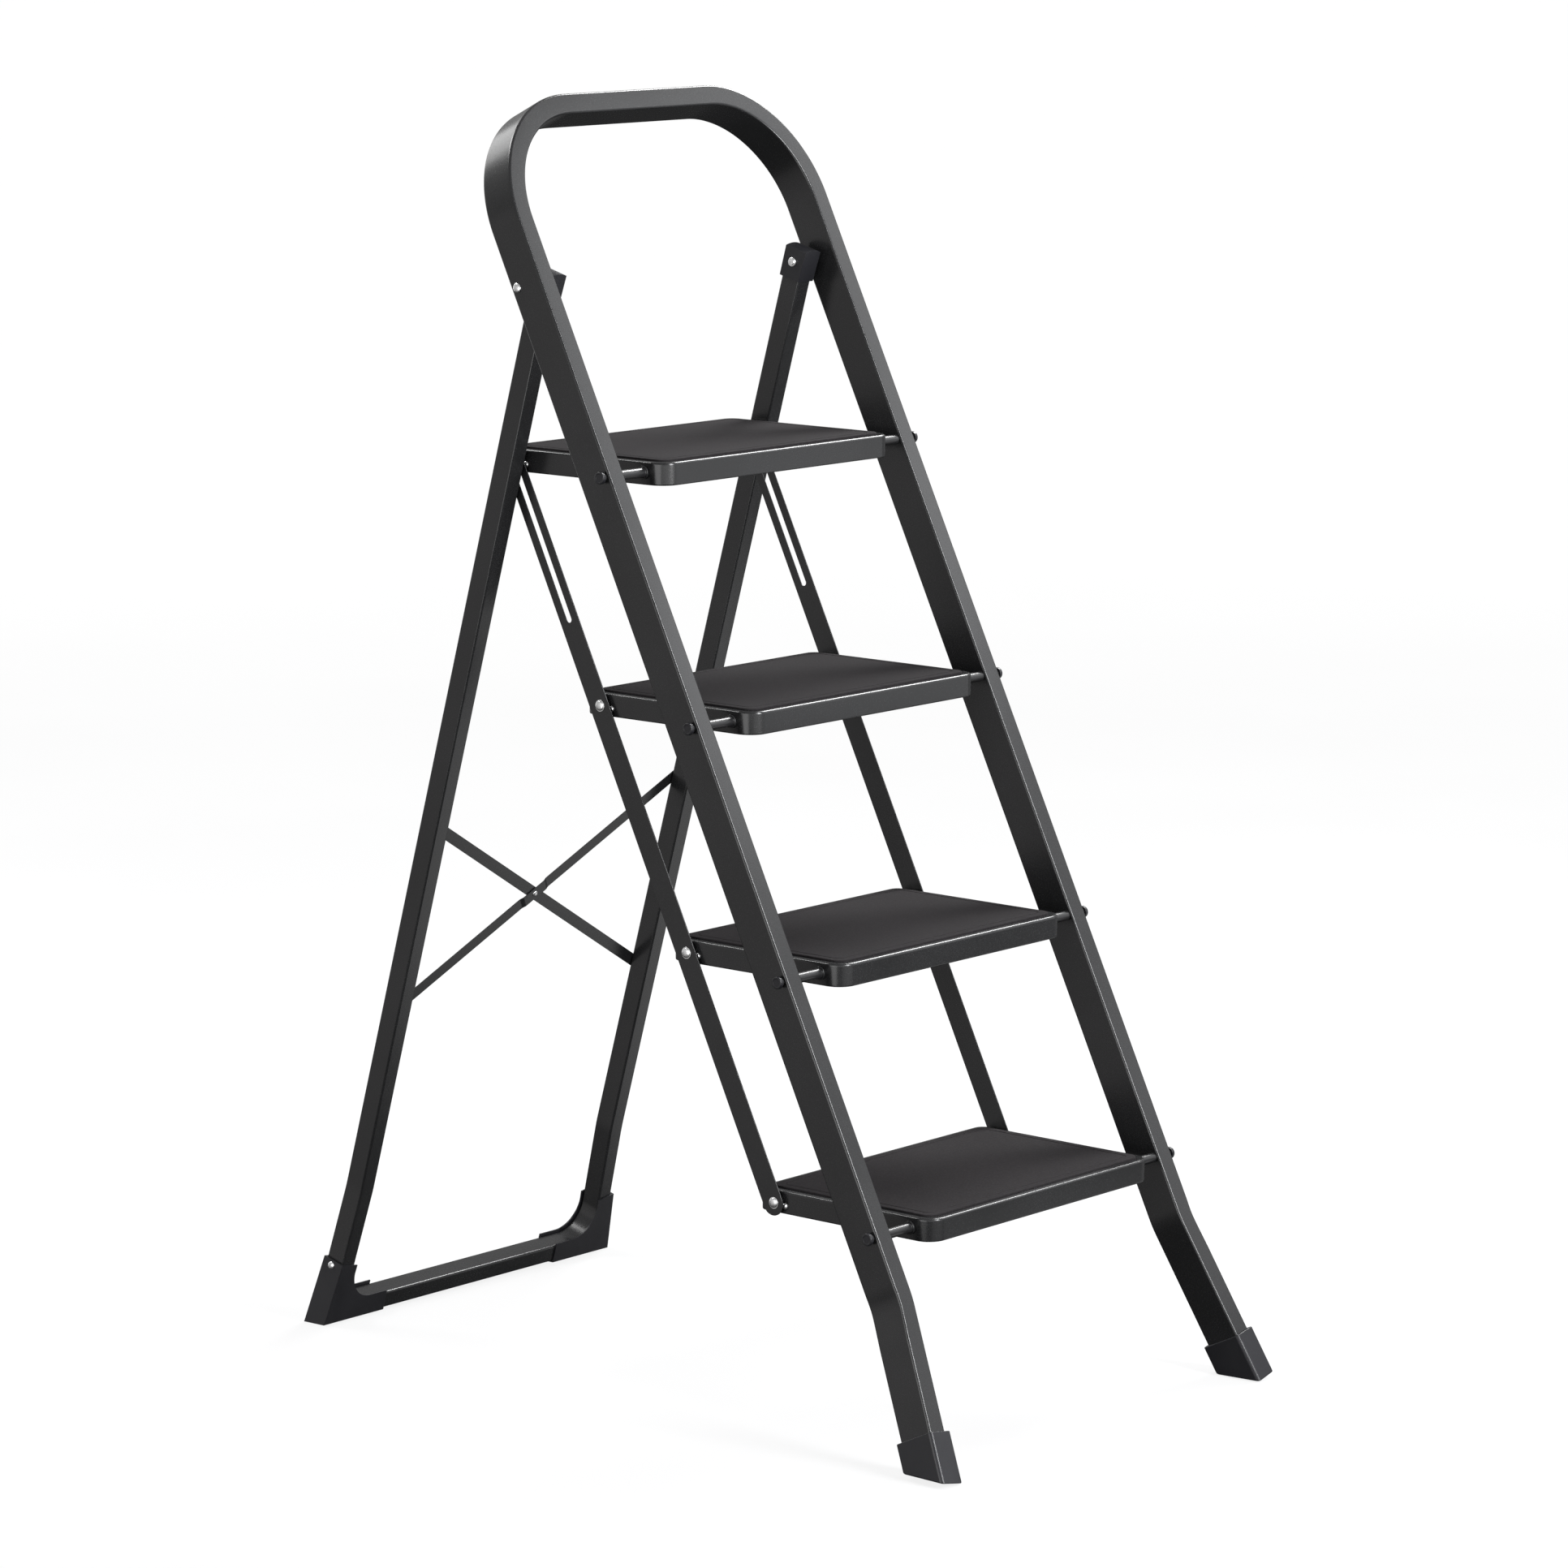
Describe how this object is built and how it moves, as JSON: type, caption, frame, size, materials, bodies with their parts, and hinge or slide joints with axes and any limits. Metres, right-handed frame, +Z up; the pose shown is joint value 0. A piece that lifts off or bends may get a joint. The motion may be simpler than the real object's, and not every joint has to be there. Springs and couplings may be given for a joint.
{
  "type": "folding step ladder",
  "caption": "Folding black tube ladder with pan steps, a rounded hand loop at the top, a hinged rear frame with crossed braces, and slotted link bars.",
  "frame": {"origin": "on the floor, under the centre of the ladder's bounding box with the ladder open", "axes": "+Z up, +Y from the steps' front towards the rear legs, +X to the right of someone facing the steps"},
  "size_m": [0.5462, 0.9174, 1.3119],
  "materials": {
    "frame_paint": "semi-matte black powder coat with a fine grain",
    "dark_paint": "semi-matte black powder coat on flat strip, rods and bushes",
    "tread_mat": "matte dark grey ribbed mat",
    "foot_plastic": "fine-textured moulded plastic",
    "bright_steel": "bright plated steel fasteners"
  },
  "bodies": {
    "front_frame": {"front_frame_tube": "frame_paint", "boot_right": "foot_plastic", "boot_left": "foot_plastic", "axle_1": "dark_paint", "axle_2": "dark_paint", "axle_3": "dark_paint", "axle_4": "dark_paint", "bush_1_right": "dark_paint", "bush_1_left": "dark_paint", "axle_cap_1_right": "foot_plastic", "axle_cap_1_left": "foot_plastic", "bush_2_right": "dark_paint", "bush_2_left": "dark_paint", "axle_cap_2_right": "foot_plastic", "axle_cap_2_left": "foot_plastic", "bush_3_right": "dark_paint", "bush_3_left": "dark_paint", "axle_cap_3_right": "foot_plastic", "axle_cap_3_left": "foot_plastic", "bush_4_right": "dark_paint", "bush_4_left": "dark_paint", "axle_cap_4_right": "foot_plastic", "axle_cap_4_left": "foot_plastic", "hinge_bolt_right": "bright_steel", "hinge_bolt_left": "bright_steel"},
    "rear_frame": {"rear_frame_tube": "frame_paint", "corner_foot_right": "foot_plastic", "corner_foot_left": "foot_plastic", "foot_screw_right": "bright_steel", "foot_screw_left": "bright_steel", "leg_cap_right": "foot_plastic", "leg_cap_left": "foot_plastic", "brace_straight": "dark_paint", "brace_cranked": "dark_paint", "brace_rivet": "bright_steel", "brace_end_rivet_1": "bright_steel", "brace_end_rivet_2": "bright_steel", "brace_end_rivet_3": "bright_steel", "brace_end_rivet_4": "bright_steel", "slot_stud_right": "bright_steel", "slot_stud_left": "bright_steel"},
    "step_1": {"pan_1": "frame_paint", "tread_1": "tread_mat"},
    "step_2": {"pan_2": "frame_paint", "tread_2": "tread_mat"},
    "step_3": {"pan_3": "frame_paint", "tread_3": "tread_mat"},
    "step_4": {"pan_4": "frame_paint", "tread_4": "tread_mat"},
    "link_right": {"link_right": "dark_paint", "link_rivet_1_right": "bright_steel", "link_rivet_2_right": "bright_steel", "link_rivet_3_right": "bright_steel", "link_rivet_4_right": "bright_steel"},
    "link_left": {"link_left": "dark_paint", "link_rivet_1_left": "bright_steel", "link_rivet_2_left": "bright_steel", "link_rivet_3_left": "bright_steel", "link_rivet_4_left": "bright_steel"}
  },
  "joints": [
    {"name": "rear_frame_hinge", "type": "hinge", "parent": "front_frame", "child": "rear_frame", "pos_m": [0, 0.12797, 1.12597], "axis": [-1, 0, 0], "range_deg": [0, 41]},
    {"name": "step_1_hinge", "type": "hinge", "parent": "front_frame", "child": "step_1", "pos_m": [0, -0.3377, 0.2242], "axis": [1, 0, 0], "range_deg": [0, 57.3]},
    {"name": "step_2_hinge", "type": "hinge", "parent": "front_frame", "child": "step_2", "pos_m": [0, -0.22116, 0.4642], "axis": [1, 0, 0], "range_deg": [0, 57.3]},
    {"name": "step_3_hinge", "type": "hinge", "parent": "front_frame", "child": "step_3", "pos_m": [0, -0.10462, 0.7042], "axis": [1, 0, 0], "range_deg": [0, 57.3]},
    {"name": "step_4_hinge", "type": "hinge", "parent": "front_frame", "child": "step_4", "pos_m": [0, 0.01191, 0.9442], "axis": [1, 0, 0], "range_deg": [0, 57.3]},
    {"name": "link_right_hinge", "type": "hinge", "parent": "step_1", "child": "link_right", "pos_m": [0, -0.1657, 0.2225], "axis": [-1, 0, 0], "range_deg": [0, 57.3]},
    {"name": "link_left_hinge", "type": "hinge", "parent": "step_1", "child": "link_left", "pos_m": [0, -0.1657, 0.2225], "axis": [-1, 0, 0], "range_deg": [0, 57.3]}
  ],
  "couplings": [
    {"joint": "step_1_hinge", "follows": "rear_frame_hinge", "ratio": 1.3957},
    {"joint": "step_2_hinge", "follows": "rear_frame_hinge", "ratio": 1.3957},
    {"joint": "step_3_hinge", "follows": "rear_frame_hinge", "ratio": 1.3957},
    {"joint": "step_4_hinge", "follows": "rear_frame_hinge", "ratio": 1.3957},
    {"joint": "link_right_hinge", "follows": "rear_frame_hinge", "ratio": 1.3957},
    {"joint": "link_left_hinge", "follows": "rear_frame_hinge", "ratio": 1.3957}
  ]
}
